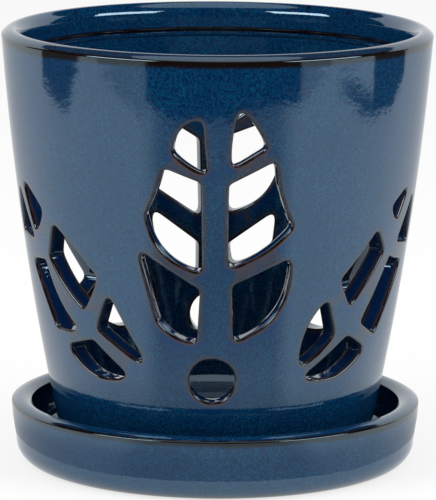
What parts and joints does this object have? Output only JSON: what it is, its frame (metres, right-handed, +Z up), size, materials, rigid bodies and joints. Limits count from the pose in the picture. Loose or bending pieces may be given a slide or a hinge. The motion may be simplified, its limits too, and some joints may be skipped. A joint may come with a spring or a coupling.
{
  "type": "slotted orchid pot with saucer",
  "caption": "Tapered round stoneware orchid pot with leaf-shaped air slots and a round vent cut through its wall, standing loose in a shallow matching saucer.",
  "frame": {"origin": "centre of the saucer's underside, on the table that it stands on", "axes": "+Z up along the pot's axis; -Y to the front, where the upright leaf stands over the round vent; +X to the right"},
  "size_m": [0.1522, 0.1522, 0.1551],
  "materials": {
    "pot_glaze": "glossy blue reactive glaze that breaks brown on edges",
    "saucer_glaze": "glossy blue reactive glaze that breaks brown on edges"
  },
  "bodies": {
    "saucer": {"saucer": "saucer_glaze"},
    "pot": {"pot": "pot_glaze"}
  },
  "joints": [
    {"name": "pot_lift", "type": "slide", "parent": "saucer", "child": "pot", "axis": [0, 0, 1], "range_m": [0, 0.06]}
  ]
}
